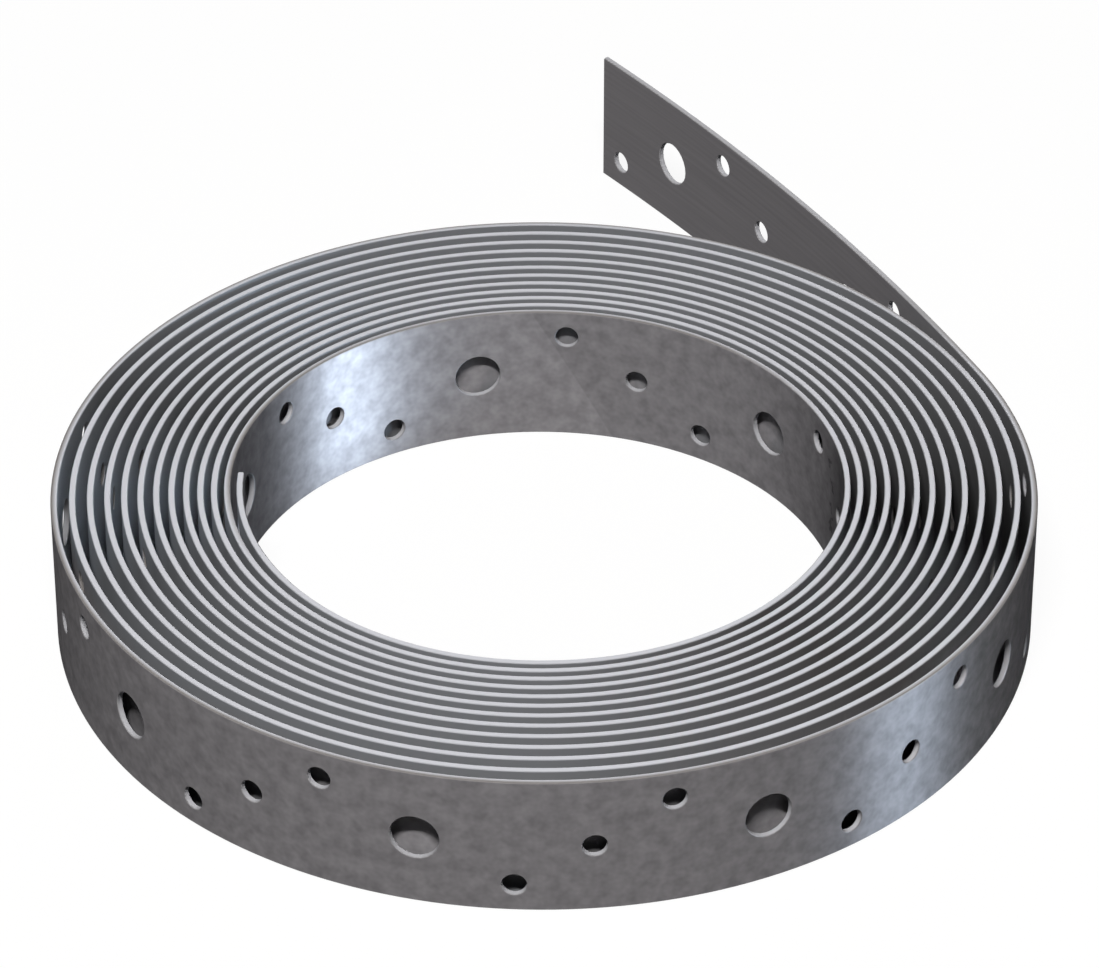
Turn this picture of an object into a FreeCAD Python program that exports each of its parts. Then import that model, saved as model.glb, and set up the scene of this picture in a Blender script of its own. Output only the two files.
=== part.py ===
import FreeCAD, Part
import math
import os

os.makedirs("parts", exist_ok=True)

# The strip, in millimetres
STRIP_WIDTH = 20.0
STRIP_THICKNESS = 0.9

# The winding: a chain of quarter turns, each a little wider than the one before, in millimetres and degrees
EYE_RADIUS = 39.4
INNER_GAP = 0.74
OUTER_GAP = 1.56
QUARTER_TURNS = 49
INNER_END_ANGLE = 177.0

# The free tail: a last stretch of the turn, one bent a little tighter, and the nearly straight end,
# in millimetres and degrees
FREED_ANGLE = 38.0
LEAVING_TIGHTENING = 0.6625
LEAVING_ANGLE = 79.3
TAIL_RADIUS = 420.0
TAIL_LENGTH = 97.0

# The punched pattern, repeated from the tail end inwards, in millimetres
LARGE_HOLE_RADIUS = 3.15
SMALL_HOLE_RADIUS = 1.55
LARGE_TO_SMALL = 12.5
SMALL_TO_SMALL = 10.0
SMALL_OFFSET = 6.0
END_TO_FIRST_HOLE = 4.2
END_CLEARANCE = 0.3
PUNCH_CLEARANCE = 0.25

# One repeat as it comes from the tail end: distance inwards, height on the strip and radius
MIDDLE_HEIGHT = STRIP_WIDTH / 2.0
PATTERN_LENGTH = 2.0 * (LARGE_TO_SMALL + SMALL_TO_SMALL)
PATTERN = [
    (0.0, MIDDLE_HEIGHT - SMALL_OFFSET, SMALL_HOLE_RADIUS),
    (LARGE_TO_SMALL, MIDDLE_HEIGHT, LARGE_HOLE_RADIUS),
    (2.0 * LARGE_TO_SMALL, MIDDLE_HEIGHT + SMALL_OFFSET, SMALL_HOLE_RADIUS),
    (2.0 * LARGE_TO_SMALL + SMALL_TO_SMALL, MIDDLE_HEIGHT, SMALL_HOLE_RADIUS),
]


def centre_line():
    """The strip's centre line as tangent arcs: centre x and y, radius, start angle and sweep of each."""
    radius = EYE_RADIUS + STRIP_THICKNESS / 2.0
    angle = math.radians(INNER_END_ANGLE)
    x, y = 0.0, 0.0
    arcs = []

    def add(new_radius, sweep):
        nonlocal x, y, angle, radius
        x += (radius - new_radius) * math.cos(angle)
        y += (radius - new_radius) * math.sin(angle)
        radius = new_radius
        arcs.append((x, y, radius, angle, sweep))
        angle += sweep

    turn_radius = radius
    for quarter in range(QUARTER_TURNS):
        add(turn_radius, math.pi / 2.0)
        share = quarter / (QUARTER_TURNS - 1.0)
        gap = INNER_GAP + (OUTER_GAP - INNER_GAP) * share
        turn_radius += (STRIP_THICKNESS + gap) / 4.0
    add(turn_radius, math.radians(FREED_ANGLE))
    add(turn_radius - LEAVING_TIGHTENING, math.radians(LEAVING_ANGLE))
    add(TAIL_RADIUS, TAIL_LENGTH / TAIL_RADIUS)
    return arcs


def on_arc(arc, angle, offset):
    """The point at an angle of an arc, moved outwards from the centre line by the offset."""
    x, y, radius = arc[:3]
    reach = radius + offset
    return FreeCAD.Vector(x + reach * math.cos(angle), y + reach * math.sin(angle), 0.0)


def side_edges(arcs, offset):
    """The arcs of one side of the strip."""
    edges = []
    for arc in arcs:
        start, sweep = arc[3:]
        first = on_arc(arc, start, offset)
        middle = on_arc(arc, start + sweep / 2.0, offset)
        last = on_arc(arc, start + sweep, offset)
        edges.append(Part.Arc(first, middle, last).toShape())
    return edges


def wound_strip(arcs):
    """The strip on edge, before it is punched."""
    half = STRIP_THICKNESS / 2.0
    inner_end = arcs[0][3]
    tail_end = arcs[-1][3] + arcs[-1][4]
    edges = side_edges(arcs, half)
    edges.append(Part.makeLine(on_arc(arcs[-1], tail_end, half), on_arc(arcs[-1], tail_end, -half)))
    edges.extend(side_edges(arcs, -half))
    edges.append(Part.makeLine(on_arc(arcs[0], inner_end, -half), on_arc(arcs[0], inner_end, half)))
    outline = Part.Wire(Part.__sortEdges__(edges))
    return Part.Face(outline).extrude(FreeCAD.Vector(0.0, 0.0, STRIP_WIDTH))


def at_length(arcs, length):
    """The arc and the angle on it at a length of the centre line, measured from the inner end."""
    for arc in arcs:
        radius, start, sweep = arc[2:]
        if length <= radius * sweep or arc is arcs[-1]:
            return arc, start + length / radius
        length -= radius * sweep


def punch(arcs, length, height, radius):
    """A pin square to the strip, a little longer than the strip is thick."""
    arc, angle = at_length(arcs, length)
    reach = STRIP_THICKNESS / 2.0 + PUNCH_CLEARANCE
    base = on_arc(arc, angle, -reach)
    base.z = height
    outwards = FreeCAD.Vector(math.cos(angle), math.sin(angle), 0.0)
    return Part.makeCylinder(radius, 2.0 * reach, base, outwards)


def punches(arcs):
    """Every hole of the strap, from the tail end to the inner end."""
    whole_length = sum(arc[2] * arc[4] for arc in arcs)
    pins = []
    repeat_start = whole_length - END_TO_FIRST_HOLE
    while repeat_start > 0.0:
        for inwards, height, radius in PATTERN:
            length = repeat_start - inwards
            if length > radius + END_CLEARANCE:
                pins.append(punch(arcs, length, height, radius))
        repeat_start -= PATTERN_LENGTH
    return pins


arcs = centre_line()
strap = wound_strip(arcs).cut(punches(arcs))
if strap.ShapeType == "Compound":
    strap = strap.Solids[0]
strap.exportStep("parts/strap.step")
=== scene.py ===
"""The looks of a perforated steel strap that stands on edge in an open coil, on a pale floor.

The strap is one surface. It is laid out flat, with a cell for each punched hole, and bent along the same
chain of arcs as the frame's own strap. Lengths are millimetres until the surface is placed, then metres.
"""

import math

import bpy
import numpy as np
from mathutils import Euler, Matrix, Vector


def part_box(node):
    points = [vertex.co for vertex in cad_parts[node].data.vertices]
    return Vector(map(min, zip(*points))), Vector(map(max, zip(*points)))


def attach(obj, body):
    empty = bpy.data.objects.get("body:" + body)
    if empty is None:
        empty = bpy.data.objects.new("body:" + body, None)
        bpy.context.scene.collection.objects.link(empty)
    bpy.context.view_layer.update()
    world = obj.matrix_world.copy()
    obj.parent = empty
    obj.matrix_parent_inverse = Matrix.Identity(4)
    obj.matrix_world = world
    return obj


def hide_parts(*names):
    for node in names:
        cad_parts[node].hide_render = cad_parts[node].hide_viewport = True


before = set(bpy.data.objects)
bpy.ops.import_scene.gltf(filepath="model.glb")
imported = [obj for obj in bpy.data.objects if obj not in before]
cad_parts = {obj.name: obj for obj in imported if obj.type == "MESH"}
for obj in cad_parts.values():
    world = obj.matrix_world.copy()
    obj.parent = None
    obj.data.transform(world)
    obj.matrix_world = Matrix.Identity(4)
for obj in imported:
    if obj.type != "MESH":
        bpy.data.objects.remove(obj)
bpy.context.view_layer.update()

bl_info = {
    "name": "Perforated steel strap",
    "version": (1, 0, 0),
    "blender": (4, 0, 0),
    "location": "3D View > Sidebar > Strap",
    "description": "Builds a coil of perforated galvanised strap with its floor, lamps and camera",
    "category": "Add Mesh",
}

MM = 0.001
STRAP_NODE = "strap"
LOW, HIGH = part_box(STRAP_NODE)
STRIP_WIDTH = (HIGH.z - LOW.z) / MM

# The winding, as on the part: a chain of quarter turns and the three arcs that free the tail
STRIP_THICKNESS = 0.9
EYE_RADIUS = 39.4
INNER_GAP = 0.74
OUTER_GAP = 1.56
QUARTER_TURNS = 49
INNER_END_ANGLE = 177.0
FREED_ANGLE = 38.0
LEAVING_TIGHTENING = 0.6625
LEAVING_ANGLE = 79.3
TAIL_RADIUS = 420.0
TAIL_LENGTH = 97.0

# The punched pattern, from the tail end inwards
LARGE_HOLE_RADIUS = 3.15
SMALL_HOLE_RADIUS = 1.55
LARGE_TO_SMALL = 12.5
SMALL_TO_SMALL = 10.0
SMALL_OFFSET = 6.0
END_TO_FIRST_HOLE = 4.2
END_CLEARANCE = 0.3

# How finely a cell is divided along and across the strip, and the direction from its hole to its first
# corner
ALONG = 6
ACROSS = 6
FIRST_CORNER = math.radians(225.0)

# By direction from the coil's axis in degrees: how pale the eye's wall is, paler round its highlight at the
# back left as a painted sheen and darker at its right and left ends as painted shade, and how much of the
# pale bloom lies between the turns, which also paints light into the gaps on the left side and shade into
# those on the right
EYE_PAINTED_SHEEN_AND_SHADE = (
    (-180, 0.8),
    (-10, 0.8),
    (0, 0.45),
    (7, 0.5),
    (18, 0.92),
    (45, 1.32),
    (90, 1.34),
    (135, 1.5),
    (155, 0.7),
    (180, 0.7),
)
# pale bloom between the turns, which paints light into the gaps on the left and shade into those at the
# front right and right
GAP_BLOOM_LIGHT_AND_SHADE = (
    (-180, 1.0),
    (-160, 0.3),
    (-90, 0.28),
    (-45, 0.09),
    (-20, 0.35),
    (0, 0.16),
    (60, 0.28),
    (160, 0.27),
    (180, 1.0),
)

# How long each change of the finish is, and where the first turn's edges turn dull, as shares of that turn
FADE = 0.1
DULL_EDGE_START = 0.55

# A faint darker part of the eye's wall, from the inner end to a slanting line: where that line meets the
# lower slit edge, how far it moves on for each millimetre upwards and how soft it is, all in millimetres,
# and the darker part's tone
DARKER_PART_END = 181.4
DARKER_PART_SLANT = 0.58
DARKER_PART_SOFTNESS = 0.3
DARKER_PART_TONE = 0.84

# How far from a slit edge the face behind the holes starts to take the open finish, made paler as painted
# light through the holes, in millimetres
BEHIND_HOLES_MARGIN = 2.0

# The zinc's clouds and the rolling lines, in millimetres, and how fine the detail in them goes
CLOUD_WIDTH = 2.5
LINE_LENGTH = 20.0
LINE_WIDTH = 0.5
PATTERN_DETAIL = 2.0

# How far the lines' tone goes either way, and the part of a pattern that spans dark zinc to light zinc
LINE_TONES = (0.32, 0.68)
ZINC_TONES = (0.3, 0.7)

# A quarter turn, which stretches a highlight across the rolling direction
ACROSS_ROLLING = 0.25

# The lamps, in metres: two far ones, whose directions are an elevation and an azimuth in degrees, and a
# near one at the right
LAMP_DISTANCE = 1.5
LAMP_TARGET = (0.0, 0.01, 0.01)
KEY_DIRECTION = (58.0, -97.0)
BACK_DIRECTION = (7.0, 85.0)
BACK_SIZE = (0.6, 0.3)
SIDE_PLACE = (0.27, -0.07, 0.10)
SIDE_TARGET = (0.0, 0.0, 0.01)
SIDE_SIZE = (0.09, 0.06)
WARM_WHITE = "#fffdfb"
COOL_WHITE = "#daeeff"

# The floor's reach and the place over it that the view is centred on, in metres, and the width of the
# camera's sensor in millimetres
FLOOR_REACH = 6.0
VIEW_CENTRE = (0.00098, 0.01372)
SENSOR_WIDTH = 36.0


def winding():
    """Centre, radius, start angle and sweep of each arc of the strip's centre line.

    Each arc starts where the last one ended, with its centre moved along the shared radius, so the line has
    no kink.
    """
    thickness = STRIP_THICKNESS
    gaps = np.linspace(INNER_GAP, OUTER_GAP, QUARTER_TURNS)
    radii = EYE_RADIUS + thickness / 2 + np.concatenate([[0.0], np.cumsum(thickness + gaps) / 4])
    radii = np.concatenate([radii, [radii[-1] - LEAVING_TIGHTENING, TAIL_RADIUS]])
    sweeps = np.full(len(radii), math.pi / 2)
    sweeps[-3:] = math.radians(FREED_ANGLE), math.radians(LEAVING_ANGLE), TAIL_LENGTH / TAIL_RADIUS
    starts = math.radians(INNER_END_ANGLE) + np.concatenate([[0.0], np.cumsum(sweeps)[:-1]])
    shifts = np.concatenate([[0.0], -np.diff(radii)])
    centre_x = np.cumsum(shifts * np.cos(starts))
    centre_y = np.cumsum(shifts * np.sin(starts))
    return centre_x, centre_y, radii, starts, sweeps


# The arcs and their ends, and the strip's whole length. Then where the first and the second turn end and the
# tail starts, by length along the strip, and the length of the last turn
ARCS = winding()
ARC_ENDS = np.cumsum(ARCS[2] * ARCS[4])
STRIP_LENGTH = float(ARC_ENDS[-1])
FIRST_TURN = ARC_ENDS[3]
SECOND_TURN_END = ARC_ENDS[7]
TAIL_START = ARC_ENDS[-2]
LAST_TURN = 2 * math.pi * ARCS[2][-3]


def bend(along, height, outwards):
    """Places and frames of flat strip coordinates on the coil, in metres.

    A point goes to its arc by its length along the strip. Its angle is the arc's start plus the length on
    that arc over the radius, and its reach is the radius plus its distance outwards.
    """
    centre_x, centre_y, radii, starts, _ = ARCS
    arc = np.clip(np.searchsorted(ARC_ENDS, along), 0, len(radii) - 1)
    begun = np.concatenate([[0.0], ARC_ENDS[:-1]])[arc]
    angle = starts[arc] + (along - begun) / radii[arc]
    reach = radii[arc] + outwards
    cosine, sine, zero = np.cos(angle), np.sin(angle), np.zeros_like(angle)
    place_x, place_y = centre_x[arc] + reach * cosine, centre_y[arc] + reach * sine
    place = np.stack([place_x, place_y, height + zero], -1) * MM
    forward = np.stack([-sine, cosine, zero], -1)
    outward = np.stack([cosine, sine, zero], -1)
    return place, forward, outward


def hole_rows():
    """Length along the strip, height and radius of every hole, from the inner end outwards.

    From the tail end inwards, each repeat has a small hole low, a large one in the middle, a small one high
    and a small one in the middle.
    """
    middle = STRIP_WIDTH / 2
    inwards = np.cumsum([0.0, LARGE_TO_SMALL, LARGE_TO_SMALL, SMALL_TO_SMALL])
    heights = np.array([middle - SMALL_OFFSET, middle, middle + SMALL_OFFSET, middle])
    radii = np.array([SMALL_HOLE_RADIUS, LARGE_HOLE_RADIUS, SMALL_HOLE_RADIUS, SMALL_HOLE_RADIUS])
    repeat = 2 * (LARGE_TO_SMALL + SMALL_TO_SMALL)
    repeats = int(STRIP_LENGTH // repeat) + 1
    along = STRIP_LENGTH - END_TO_FIRST_HOLE - (repeat * np.arange(repeats)[:, None] + inwards).ravel()
    heights, radii = np.tile(heights, repeats), np.tile(radii, repeats)
    kept = along > radii + END_CLEARANCE
    return along[kept][::-1], heights[kept][::-1], radii[kept][::-1]


class Patchwork:
    """Points, normals and faces of a surface, gathered block by block."""

    def __init__(self):
        self.blocks, self.quads, self.corner_normals, self.count = [], [], [], 0

    def points(self, along, height, outwards, normal, cut):
        """Adds points in strip coordinates and returns their numbers.

        Their normal is given along, up and outwards.
        """
        shape = np.broadcast_shapes(np.shape(along), np.shape(height), np.shape(outwards))
        parts = along, height, outwards, *normal, cut
        values = [np.broadcast_to(np.asarray(part, float), shape).ravel() for part in parts]
        self.blocks.append(np.stack(values, -1))
        numbers = self.count + np.arange(values[0].size).reshape(shape)
        self.count += values[0].size
        return numbers

    def ring(self, outer, inner):
        """Quads between closed rings, a ring to each row, with the surface to the left of the outer one."""
        after = np.roll(outer, -1, axis=-1), np.roll(inner, -1, axis=-1)
        self.add(np.stack([outer, after[0], after[1], inner], -1).reshape(-1, 4))

    def strip(self, first, second):
        """Quads between two open rows of points."""
        self.add(np.stack([first[1:], first[:-1], second[:-1], second[1:]], -1))

    def add(self, quads, flat=0.0):
        """Adds quads. With flat, their corners take that one direction along the strip as their normal."""
        self.quads.append(quads)
        self.corner_normals.append(np.full(len(quads), flat))


def strap_patchwork(edge):
    """The strip laid flat, with every hole, its rims and its slit edges eased by the edge radius.

    Each hole has a cell that reaches halfway to its neighbours. The cell's outline is divided evenly, and
    its points join the same number of points on the hole's circle, on the outer face, through the wall and
    on the inner face. The slit edges and the cut ends close the surface.
    """
    along, height, radius = hole_rows()
    half = STRIP_THICKNESS / 2
    lines = np.concatenate([[0.0], (along[1:] + along[:-1]) / 2, [STRIP_LENGTH]])
    steps = np.interp(np.arange(len(along) * ALONG + 1) / ALONG, np.arange(len(lines)), lines)
    levels = np.linspace(edge, STRIP_WIDTH - edge, ACROSS + 1)
    cells = np.arange(len(along))
    first_steps = cells[:, None] * ALONG
    last_steps = first_steps + ALONG
    run = np.arange(ALONG)
    work = Patchwork()
    outlines, sides, rows = {}, {}, {}
    for face in (1, -1):
        normal = (0.0, 0.0, face)
        bottom = work.points(steps, levels[0], face * half, normal, 0)
        top = work.points(steps, levels[-1], face * half, normal, 0)
        inside = work.points(lines[:, None], levels[1:-1], face * half, normal, 0)
        side = np.concatenate([bottom[::ALONG, None], inside, top[::ALONG, None]], axis=1)
        lower, upper = bottom[first_steps + run], top[last_steps - run]
        outlines[face] = np.concatenate([lower, side[cells + 1, :-1], upper, side[cells, :0:-1]], axis=1)
        sides[face], rows[face] = side, (bottom, top)
    corners = 2 * (ALONG + ACROSS)
    turn = FIRST_CORNER + np.arange(corners) * 2 * math.pi / corners
    cosine, sine = np.cos(turn), np.sin(turn)
    sheet = [outlines[1]]
    for grow, outwards, normal, cut in (
        (edge, half, (0.0, 0.0, 1.0), 0),
        (0.0, half - edge, (-cosine, -sine, 0.0), 1),
        (0.0, edge - half, (-cosine, -sine, 0.0), 1),
        (edge, -half, (0.0, 0.0, -1.0), 0),
    ):
        reach = (radius + grow)[:, None]
        circle = along[:, None] + reach * cosine, height[:, None] + reach * sine
        sheet.append(work.points(*circle, outwards, normal, cut))
    sheet.append(outlines[-1])
    for outer, inner in zip(sheet[:-1], sheet[1:]):
        work.ring(outer, inner)
    slit = []
    for level, (row, up) in enumerate(((0.0, -1.0), (STRIP_WIDTH, 1.0))):
        outer = work.points(steps, row, half - edge, (0.0, up, 0.0), 1)
        inner = work.points(steps, row, edge - half, (0.0, up, 0.0), 1)
        profile = [rows[1][level], outer, inner, rows[-1][level]]
        slit.append((outer, inner))
        if level:
            profile.reverse()
        for first, second in zip(profile[:-1], profile[1:]):
            work.strip(first, second)
    for end, way in ((0, -1.0), (-1, 1.0)):
        outer, inner = sides[1][end], sides[-1][end]
        cap = np.stack([outer[1:], outer[:-1], inner[:-1], inner[1:]], -1)
        under = [outer[0], slit[0][0][end], slit[0][1][end], inner[0]]
        over = [outer[-1], inner[-1], slit[1][1][end], slit[1][0][end]]
        cap = np.concatenate([cap, [under, over]])
        work.add(cap if way > 0 else cap[:, ::-1], flat=way)
    return work


def finish_marks(along, height, outwards, cut, place, settings):
    """The finish by place on the strip: a value for each point, under each name that the material reads.

    What the turns shelter is fresh. That leaves out the eye's wall, which is the inner face of the first
    turn, the outer face of the last turn, the tail, the edges beside these, and the middle of the second
    face from the eye and from outside, which lies behind the holes in front of it and is made paler there as
    painted light falling through them. The first turn's edge is dull in its last part only. The tail's edges
    and the walls of the first and last turns' holes are half fresh, and the walls of all other holes are
    dull.
    """
    step = FADE * FIRST_TURN
    first = np.clip(1.0 - (along - FIRST_TURN) / step, 0.0, 1.0)
    last = np.clip((along - TAIL_START + LAST_TURN) / step, 0.0, 1.0)
    tail = np.clip((along - TAIL_START) / step, 0.0, 1.0)
    dull_edge = np.clip((along - DULL_EDGE_START * FIRST_TURN) / step, 0.0, 1.0)
    inner = (outwards < 0).astype(float)
    eye_wall = first * inner
    in_hole = cut * (height > 0.0) * (height < STRIP_WIDTH)
    first_seen = first * np.where(cut > in_hole, dull_edge, 1.0) * (outwards < STRIP_THICKNESS / 4)
    last_seen = last * (outwards > -STRIP_THICKNESS / 4)
    seen = np.maximum(np.maximum(first_seen, last_seen), tail)
    second_face = np.where(inner > 0, along < SECOND_TURN_END, along > TAIL_START - 2 * LAST_TURN)
    from_edge = STRIP_WIDTH / 2 - np.abs(height - STRIP_WIDTH / 2)
    behind_holes = second_face * np.clip(from_edge / BEHIND_HOLES_MARGIN - 1.0, 0.0, 1.0) * (1.0 - cut)
    fresh = np.maximum(1.0 - np.maximum(seen, behind_holes), settings.half_fresh * cut * tail)
    fresh = np.where(in_hole > 0.0, settings.half_fresh * np.maximum(first, last), fresh)
    sheen = settings.eye_metal * (eye_wall + settings.bloom_metal * (inner - eye_wall))
    open_metal = settings.outer_metal * last * (1.0 - inner)
    metal = (1.0 - tail) * (sheen + open_metal) + tail * settings.outer_metal
    direction = np.degrees(np.arctan2(place[:, 1], place[:, 0]))
    # the eye's wall is paler round its highlight, a painted sheen, and darker at its ends, painted shade
    paleness = 1.0 + (np.interp(direction, *zip(*EYE_PAINTED_SHEEN_AND_SHADE)) - 1.0) * eye_wall
    paleness += (settings.tail_paleness - 1.0) * tail
    # the faces behind the holes are made paler, as painted light falling through the holes
    paleness += (settings.behind_holes_painted_light - 1.0) * behind_holes * (1.0 - seen)
    duller = settings.eye_roughness - settings.outer_roughness
    return {
        "cut": cut,
        "fresh": fresh,
        # bloom by direction, with painted light in the gaps on the left and painted shade in those on the
        # right
        "bloom_gap_light_and_shade": np.interp(direction, *zip(*GAP_BLOOM_LIGHT_AND_SHADE)),
        "rolling": tail,
        "metal": metal * (1.0 - cut),
        "paleness": paleness,
        "dullness": settings.outer_roughness + duller * inner * (1.0 - tail),
    }


def surface_object(name, work, settings):
    """A mesh object from a patchwork, bent along the winding.

    It has its own normals, a flat UV map of the strip and the finish marks.
    """
    table = np.concatenate(work.blocks)
    quads = np.concatenate(work.quads)
    place, forward, outward = bend(table[:, 0], table[:, 1], table[:, 2])
    normal = table[:, 3:4] * forward + table[:, 5:6] * outward
    normal[:, 2] += table[:, 4]
    mesh = bpy.data.meshes.new(name)
    mesh.vertices.add(len(place))
    mesh.vertices.foreach_set("co", place.ravel())
    mesh.loops.add(quads.size)
    mesh.loops.foreach_set("vertex_index", quads.ravel().astype(np.int32))
    mesh.polygons.add(len(quads))
    mesh.polygons.foreach_set("loop_start", np.arange(0, quads.size, 4, dtype=np.int32))
    mesh.update(calc_edges=True)
    mesh.polygons.foreach_set("use_smooth", np.ones(len(quads), bool))
    flat_map = mesh.uv_layers.new(name="strip")
    flat_map.data.foreach_set("uv", (table[:, :2][quads.ravel()] * MM).ravel())
    along, height, outwards, cut = table[:, [0, 1, 2, 6]].T
    for label, value in finish_marks(along, height, outwards, cut, place, settings).items():
        mark = mesh.attributes.new(label, "FLOAT", "POINT")
        mark.data.foreach_set("value", value.astype(np.float32))
    ends = np.repeat(np.concatenate(work.corner_normals), 4)[:, None]
    corner = np.where(ends != 0, ends * forward[quads.ravel()], normal[quads.ravel()])
    mesh.normals_split_custom_set(corner / np.linalg.norm(corner, axis=1, keepdims=True))
    mesh.validate()
    piece = bpy.data.objects.new(name, mesh)
    bpy.context.scene.collection.objects.link(piece)
    return piece


def linear(code):
    """A linear colour from an sRGB hex value, by the sRGB curve."""
    parts = np.array([int(code[i : i + 2], 16) for i in (1, 3, 5)]) / 255
    parts = np.where(parts <= 0.04045, parts / 12.92, ((parts + 0.055) / 1.055) ** 2.4)
    return (*parts.tolist(), 1.0)


def node(tree, kind, feeds=None, **settings):
    """Adds a node. Settings are its properties, and feeds give its inputs a value or a socket to follow."""
    made = tree.nodes.new(kind)
    for name, value in settings.items():
        setattr(made, name, value)
    for socket, feed in (feeds or {}).items():
        if isinstance(feed, bpy.types.NodeSocket):
            tree.links.new(feed, made.inputs[socket])
        else:
            made.inputs[socket].default_value = feed
    return made


def seen_directly(tree):
    """One where the camera or a reflection looks, and nought for the light that falls on the strap."""
    rays = node(tree, "ShaderNodeLightPath").outputs
    either = {0: rays["Is Camera Ray"], 1: rays["Is Glossy Ray"]}
    return node(tree, "ShaderNodeMath", either, operation="MAXIMUM").outputs[0]


def new_material(name):
    """A material with an empty node tree."""
    material = bpy.data.materials.new(name)
    material.use_nodes = True
    material.node_tree.nodes.clear()
    return material


def galvanised_sheet(settings):
    """Zinc-coated cold-rolled strip, weathered to a dull grey where it lies in the open.

    The eye's wall keeps more of the zinc's sheen, the faces between the turns carry the matt bloom of damp
    storage with painted light in the gaps on the left and painted shade in those on the right, and the slit
    and punched edges are paler still.
    """
    material = new_material("galvanised_sheet")
    tree = material.node_tree
    strip = node(tree, "ShaderNodeUVMap", uv_map="strip").outputs["UV"]
    cut, fresh, gap_light_and_shade_share, rolled, metal, paleness, dullness = (
        node(tree, "ShaderNodeAttribute", attribute_name=name).outputs["Fac"]
        for name in ("cut", "fresh", "bloom_gap_light_and_shade", "rolling", "metal", "paleness", "dullness")
    )
    # zinc clouds two or three millimetres wide with finer ones in them, the uneven dulling of the coating
    cloud = {
        "Vector": strip,
        "Scale": 1 / (CLOUD_WIDTH * MM),
        "Detail": PATTERN_DETAIL,
        "Roughness": settings.cloud_detail,
    }
    clouds = node(tree, "ShaderNodeTexNoise", cloud).outputs["Fac"]
    # rolling lines along the strip, long and faint
    line_scale = (1 / (LINE_LENGTH * MM), 1 / (LINE_WIDTH * MM), 1.0)
    stretched = node(tree, "ShaderNodeMapping", {"Vector": strip, "Scale": line_scale}).outputs[0]
    line = {"Vector": stretched, "Scale": 1.0, "Detail": PATTERN_DETAIL}
    lines = node(tree, "ShaderNodeTexNoise", line).outputs["Fac"]
    faint = {"Value": lines, "To Min": LINE_TONES[0], "To Max": LINE_TONES[1]}
    faint_lines = node(tree, "ShaderNodeMapRange", faint).outputs[0]
    pattern = node(tree, "ShaderNodeMix", {0: rolled, 2: clouds, 3: faint_lines}).outputs[0]
    spread = {"Value": pattern, "From Min": ZINC_TONES[0], "From Max": ZINC_TONES[1]}
    tone = node(tree, "ShaderNodeMapRange", spread).outputs[0]
    shades = {0: tone, 6: settings.zinc_dark, 7: settings.zinc_light}
    zinc = node(tree, "ShaderNodeMix", shades, data_type="RGBA").outputs[2]
    # the darker part, whose end is a straight line on the flat strip
    across_end = {0: strip, 1: (1 / MM, -DARKER_PART_SLANT / MM, 0.0)}
    past = node(tree, "ShaderNodeVectorMath", across_end, operation="DOT_PRODUCT").outputs["Value"]
    darker_part_end = {
        "Value": past,
        "From Min": DARKER_PART_END - DARKER_PART_SOFTNESS / 2,
        "From Max": DARKER_PART_END + DARKER_PART_SOFTNESS / 2,
        "To Min": DARKER_PART_TONE,
    }
    darker_part = node(tree, "ShaderNodeMapRange", darker_part_end).outputs[0]
    shade = node(tree, "ShaderNodeMath", {0: paleness, 1: darker_part}, operation="MULTIPLY").outputs[0]
    wall = node(tree, "ShaderNodeVectorMath", {0: zinc, "Scale": shade}, operation="SCALE").outputs[0]
    # the sheltered faces, whose bloom also carries painted light in the gaps on the left and painted shade
    # in those on the right, and the slit and punched edges
    blooms = {0: gap_light_and_shade_share, 6: settings.shaded_gap_bloom, 7: settings.lit_gap_bloom}
    bloom_gap_light_and_shade = node(tree, "ShaderNodeMix", blooms, data_type="RGBA").outputs[2]
    face = node(tree, "ShaderNodeMix", {0: fresh, 6: wall, 7: bloom_gap_light_and_shade}, data_type="RGBA").outputs[2]
    edges = {0: fresh, 6: settings.dull_edge, 7: settings.fresh_edge}
    edge = node(tree, "ShaderNodeMix", edges, data_type="RGBA").outputs[2]
    coat = node(tree, "ShaderNodeMix", {0: cut, 6: face, 7: edge}, data_type="RGBA").outputs[2]
    surface = {
        "Base Color": coat,
        "Metallic": metal,
        "Roughness": dullness,
        "Tangent": node(tree, "ShaderNodeTangent", direction_type="UV_MAP", uv_map="strip").outputs[0],
        "Anisotropic": settings.anisotropic,
        "Anisotropic Rotation": ACROSS_ROLLING,
        "Specular IOR Level": settings.clear_gloss,
        "Specular Tint": settings.grazing,
    }
    shader = node(tree, "ShaderNodeBsdfPrincipled", surface)
    node(tree, "ShaderNodeOutputMaterial", {"Surface": shader.outputs["BSDF"]})
    return material


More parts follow.
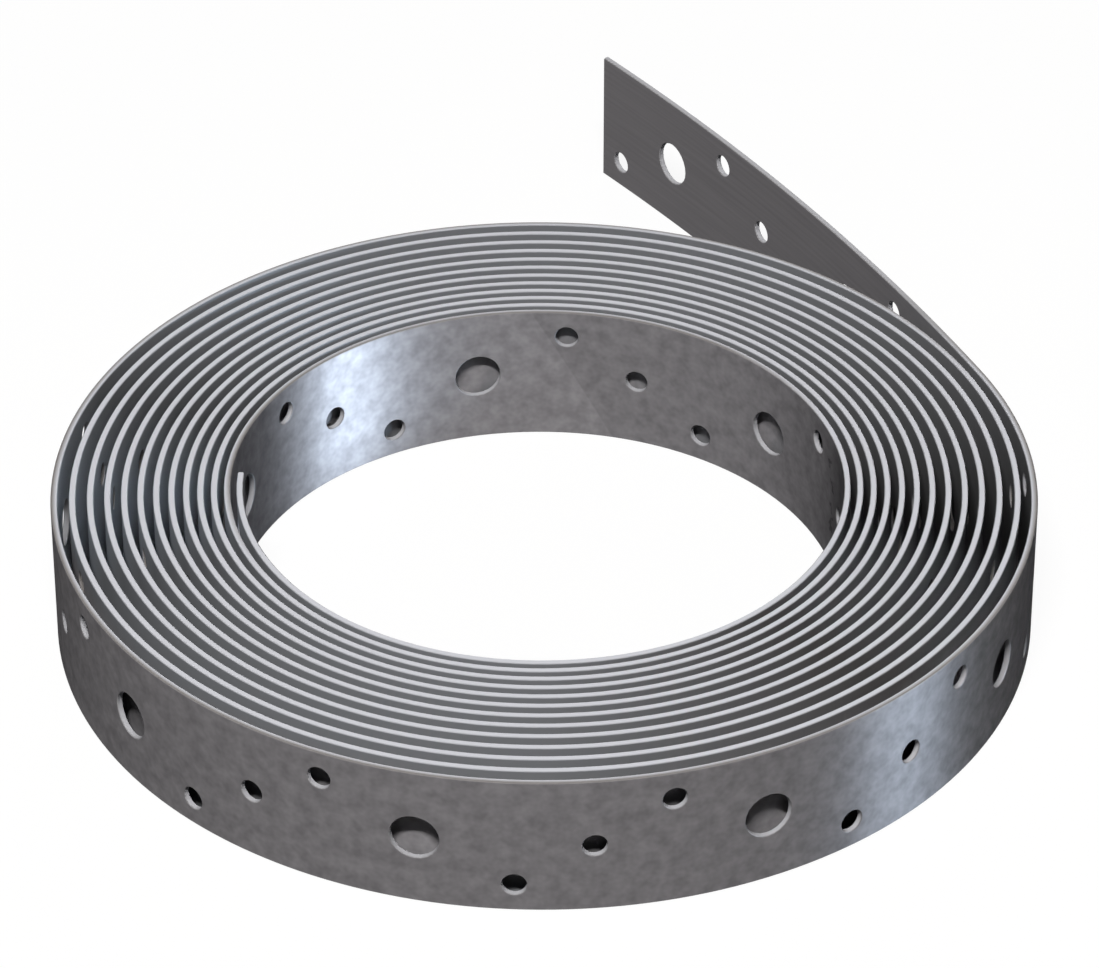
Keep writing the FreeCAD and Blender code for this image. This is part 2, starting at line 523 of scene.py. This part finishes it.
class StrapSettings(bpy.types.PropertyGroup):
    """Finish of the strap."""

    edge: bpy.props.FloatProperty(
        name="Edge radius",
        description="Easing of slit edges and hole rims, in millimetres",
        default=0.18,
        min=0.02,
    )
    outer_roughness: bpy.props.FloatProperty(
        name="Dullness",
        description="Roughness of the weathered faces",
        default=0.48,
        min=0.0,
        max=1.0,
        subtype="FACTOR",
    )
    eye_roughness: bpy.props.FloatProperty(
        name="Inner dullness",
        description="Roughness of the eye's wall and of the other inner faces",
        default=0.7,
        min=0.0,
        max=1.0,
        subtype="FACTOR",
    )
    outer_metal: bpy.props.FloatProperty(
        name="Bare metal",
        description="Share of metal in the weathered zinc",
        default=0.07,
        min=0.0,
        max=1.0,
        subtype="FACTOR",
    )
    eye_metal: bpy.props.FloatProperty(
        name="Eye metal",
        description="Share of metal on the wall round the eye",
        default=0.27,
        min=0.0,
        max=1.0,
        subtype="FACTOR",
    )
    bloom_metal: bpy.props.FloatProperty(
        name="Bloom metal",
        description="How much of the eye's metal shows on the sheltered inner faces",
        default=0.3,
        min=0.0,
        max=1.0,
        subtype="FACTOR",
    )
    tail_paleness: bpy.props.FloatProperty(
        name="Tail paleness",
        description="Tone of the tail against the other open faces",
        default=0.93,
        min=0.5,
        max=2.0,
    )
    # paleness of the faces behind the holes, painted light falling through them
    behind_holes_painted_light: bpy.props.FloatProperty(
        name="Lit paleness",
        description="Tone of the faces behind open holes against the open faces",
        default=1.35,
        min=0.5,
        max=2.0,
    )
    half_fresh: bpy.props.FloatProperty(
        name="Half freshness",
        description="How fresh the walls of open holes and the tail's edges are",
        default=0.6,
        min=0.0,
        max=1.0,
        subtype="FACTOR",
    )
    cloud_detail: bpy.props.FloatProperty(
        name="Cloud detail",
        description="Strength of the finer clouds",
        default=0.7,
        min=0.0,
        max=1.0,
        subtype="FACTOR",
    )
    anisotropic: bpy.props.FloatProperty(
        name="Rolling stretch",
        description="How far rolling stretches a highlight",
        default=0.95,
        min=0.0,
        max=1.0,
        subtype="FACTOR",
    )
    clear_gloss: bpy.props.FloatProperty(
        name="Clear gloss",
        description="Gloss of the zinc's own oxide",
        default=0.0,
        min=0.0,
        max=1.0,
        subtype="FACTOR",
    )
    grazing: bpy.props.FloatVectorProperty(
        name="Grazing tint",
        description="Reflection at a low angle",
        default=linear("#747474"),
        size=4,
        min=0.0,
        max=1.0,
        subtype="COLOR",
    )
    zinc_dark: bpy.props.FloatVectorProperty(
        name="Dark zinc",
        description="Darkest zinc",
        default=linear("#7b797c"),
        size=4,
        min=0.0,
        max=1.0,
        subtype="COLOR",
    )
    zinc_light: bpy.props.FloatVectorProperty(
        name="Light zinc",
        description="Lightest zinc",
        default=linear("#929093"),
        size=4,
        min=0.0,
        max=1.0,
        subtype="COLOR",
    )
    # the colour of the least bloom, and of the painted shade in the gaps on the right
    shaded_gap_bloom: bpy.props.FloatVectorProperty(
        name="Dark bloom",
        description="Sheltered faces with the least bloom",
        default=linear("#4d4844"),
        size=4,
        min=0.0,
        max=1.0,
        subtype="COLOR",
    )
    # the colour of the most bloom, and of the painted light in the gaps on the left
    lit_gap_bloom: bpy.props.FloatVectorProperty(
        name="Pale bloom",
        description="Sheltered faces with the most bloom",
        default=linear("#cfd7e1"),
        size=4,
        min=0.0,
        max=1.0,
        subtype="COLOR",
    )
    fresh_edge: bpy.props.FloatVectorProperty(
        name="Fresh edge",
        description="Cut edges of the sheltered turns",
        default=linear("#c9cbd2"),
        size=4,
        min=0.0,
        max=1.0,
        subtype="COLOR",
    )
    dull_edge: bpy.props.FloatVectorProperty(
        name="Dull edge",
        description="Cut edges of the outermost and innermost turn",
        default=linear("#817e7c"),
        size=4,
        min=0.0,
        max=1.0,
        subtype="COLOR",
    )


class StageSettings(bpy.types.PropertyGroup):
    """Floor, lamps and camera."""

    elevation: bpy.props.FloatProperty(
        name="Elevation",
        description="Angle of the view above the floor",
        default=math.radians(34.88),
        subtype="ANGLE",
    )
    distance: bpy.props.FloatProperty(
        name="Distance",
        description="Camera to the point it looks at",
        default=0.7744,
        unit="LENGTH",
    )
    lens: bpy.props.FloatProperty(
        name="Lens",
        description="Focal length",
        default=188.1,
        unit="CAMERA",
    )
    key_power: bpy.props.FloatProperty(
        name="Key lamp",
        description="Power of the high front lamp",
        default=24.3,
        unit="POWER",
    )
    key_width: bpy.props.FloatProperty(
        name="Key width",
        description="Width of the high front lamp",
        default=0.45,
        unit="LENGTH",
    )
    key_height: bpy.props.FloatProperty(
        name="Key height",
        description="Height of the high front lamp's face",
        default=0.06,
        unit="LENGTH",
    )
    side_power: bpy.props.FloatProperty(
        name="Side lamp",
        description="Power of the low side lamp",
        default=5.4,
        unit="POWER",
    )
    back_power: bpy.props.FloatProperty(
        name="Back lamp",
        description="Power of the low back lamp",
        default=12.0,
        unit="POWER",
    )
    sky: bpy.props.FloatProperty(
        name="Sky",
        description="Strength of the plain light all round",
        default=0.03,
        min=0.0,
        max=1.0,
        subtype="FACTOR",
    )
    floor_tone: bpy.props.FloatProperty(
        name="Floor",
        description="Paleness of the floor for the light that falls on it",
        default=0.08,
        min=0.0,
        max=1.0,
        subtype="FACTOR",
    )


class STRAP_OT_coil(bpy.types.Operator):
    """Builds the wound and punched strap"""

    bl_idname = "strap.coil"
    bl_label = "Strap coil"

    def execute(self, context):
        settings = context.scene.strap
        coil = surface_object("strap_surface", strap_patchwork(settings.edge), settings)
        coil.data.materials.append(galvanised_sheet(settings))
        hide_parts(STRAP_NODE)
        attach(coil, "root")
        return {"FINISHED"}


def far_place(elevation, azimuth):
    """A place at the far lamps' distance, at an elevation and an azimuth in degrees."""
    place = Vector((LAMP_DISTANCE, 0.0, 0.0))
    place.rotate(Euler((0.0, math.radians(-elevation), math.radians(azimuth))))
    return place


def lamp(name, place, target, size, power, colour, reflected=False):
    """A rectangular soft lamp that faces a point.

    It only lights the faces, or with reflected only shows as a sheen on them.
    """
    data = bpy.data.lights.new(name, "AREA")
    data.shape = "RECTANGLE"
    data.size, data.size_y = size
    data.energy = power
    data.color = linear(colour)[:3]
    made = bpy.data.objects.new(name, data)
    made.location = place
    made.rotation_euler = (Vector(target) - Vector(place)).to_track_quat("-Z", "Y").to_euler()
    made.visible_camera = False
    made.visible_diffuse = not reflected
    made.visible_glossy = reflected
    bpy.context.scene.collection.objects.link(made)


class STRAP_OT_stage(bpy.types.Operator):
    """Adds the floor, the plain light and the camera"""

    bl_idname = "strap.stage"
    bl_label = "Floor, light and camera"

    def execute(self, context):
        scene, settings = context.scene, context.scene.strap_stage
        self.floor(scene, settings)
        self.sky(scene, settings)
        key, back = far_place(*KEY_DIRECTION), far_place(*BACK_DIRECTION)
        key_size = settings.key_width, settings.key_height
        lamp("key_lamp", key, LAMP_TARGET, key_size, settings.key_power, WARM_WHITE)
        lamp("back_lamp", back, LAMP_TARGET, BACK_SIZE, settings.back_power, WARM_WHITE)
        side = SIDE_PLACE, SIDE_TARGET, SIDE_SIZE
        lamp("side_lamp", *side, settings.side_power, COOL_WHITE, reflected=True)
        self.camera(scene, settings)
        scene.view_settings.view_transform = "Standard"
        return {"FINISHED"}

    def floor(self, scene, settings):
        """A wide pale floor that keeps the soft shadow and is white to the camera and in reflections."""
        reach, tone, rest = FLOOR_REACH, settings.floor_tone, 1 - settings.floor_tone
        corners = [(-reach, -reach, 0), (reach, -reach, 0), (reach, reach, 0), (-reach, reach, 0)]
        mesh = bpy.data.meshes.new("floor")
        mesh.from_pydata(corners, [], [(0, 1, 2, 3)])
        material = new_material("pale_floor")
        tree = material.node_tree
        paint = node(tree, "ShaderNodeBsdfDiffuse", {"Color": (tone, tone, tone, 1.0)})
        white = {"Color": (rest, rest, rest, 1.0), "Strength": seen_directly(tree)}
        glow = node(tree, "ShaderNodeEmission", white)
        both = node(tree, "ShaderNodeAddShader", {0: paint.outputs[0], 1: glow.outputs[0]})
        node(tree, "ShaderNodeOutputMaterial", {"Surface": both.outputs[0]})
        mesh.materials.append(material)
        floor = bpy.data.objects.new("floor", mesh)
        scene.collection.objects.link(floor)

    def sky(self, scene, settings):
        """Even pale light all round, which the camera and reflections see as white."""
        world = bpy.data.worlds.new("pale_room")
        world.use_nodes = True
        tree = world.node_tree
        tree.nodes.clear()
        share = {"Value": seen_directly(tree), "To Min": settings.sky, "To Max": 1.0}
        strength = node(tree, "ShaderNodeMapRange", share).outputs["Result"]
        white = {"Color": (1.0, 1.0, 1.0, 1.0), "Strength": strength}
        sky = node(tree, "ShaderNodeBackground", white)
        node(tree, "ShaderNodeOutputWorld", {"Surface": sky.outputs[0]})
        scene.world = world

    def camera(self, scene, settings):
        """Looks at the coil from the front, from the photograph's height."""
        target = Vector((*VIEW_CENTRE, STRIP_WIDTH * MM / 2))
        away = Vector((0.0, -math.cos(settings.elevation), math.sin(settings.elevation)))
        data = bpy.data.cameras.new("camera")
        data.lens = settings.lens
        data.sensor_width = SENSOR_WIDTH
        made = bpy.data.objects.new("camera", data)
        made.location = target + away * settings.distance
        made.rotation_euler = (-away).to_track_quat("-Z", "Y").to_euler()
        scene.collection.objects.link(made)
        scene.camera = made


class STRAP_PT_panel(bpy.types.Panel):
    """Lists the strap's builders and their settings"""

    bl_idname = "STRAP_PT_panel"
    bl_label = "Perforated strap"
    bl_space_type = "VIEW_3D"
    bl_region_type = "UI"
    bl_category = "Strap"

    def draw(self, context):
        scene = context.scene
        for group, operator in ((scene.strap, STRAP_OT_coil), (scene.strap_stage, STRAP_OT_stage)):
            box = self.layout.box()
            for name in group.__annotations__:
                box.prop(group, name)
            box.operator(operator.bl_idname)


CLASSES = (StrapSettings, StageSettings, STRAP_OT_coil, STRAP_OT_stage, STRAP_PT_panel)


def register():
    """Registers the classes and hangs their settings on the scene."""
    for item in CLASSES:
        bpy.utils.register_class(item)
    bpy.types.Scene.strap = bpy.props.PointerProperty(type=StrapSettings)
    bpy.types.Scene.strap_stage = bpy.props.PointerProperty(type=StageSettings)


def unregister():
    """Takes the settings off the scene and unregisters the classes."""
    del bpy.types.Scene.strap_stage
    del bpy.types.Scene.strap
    for item in reversed(CLASSES):
        bpy.utils.unregister_class(item)


def main():
    """Builds the strap and its stage."""
    register()
    bpy.ops.strap.coil()
    bpy.ops.strap.stage()


if __name__ == "__main__":
    main()
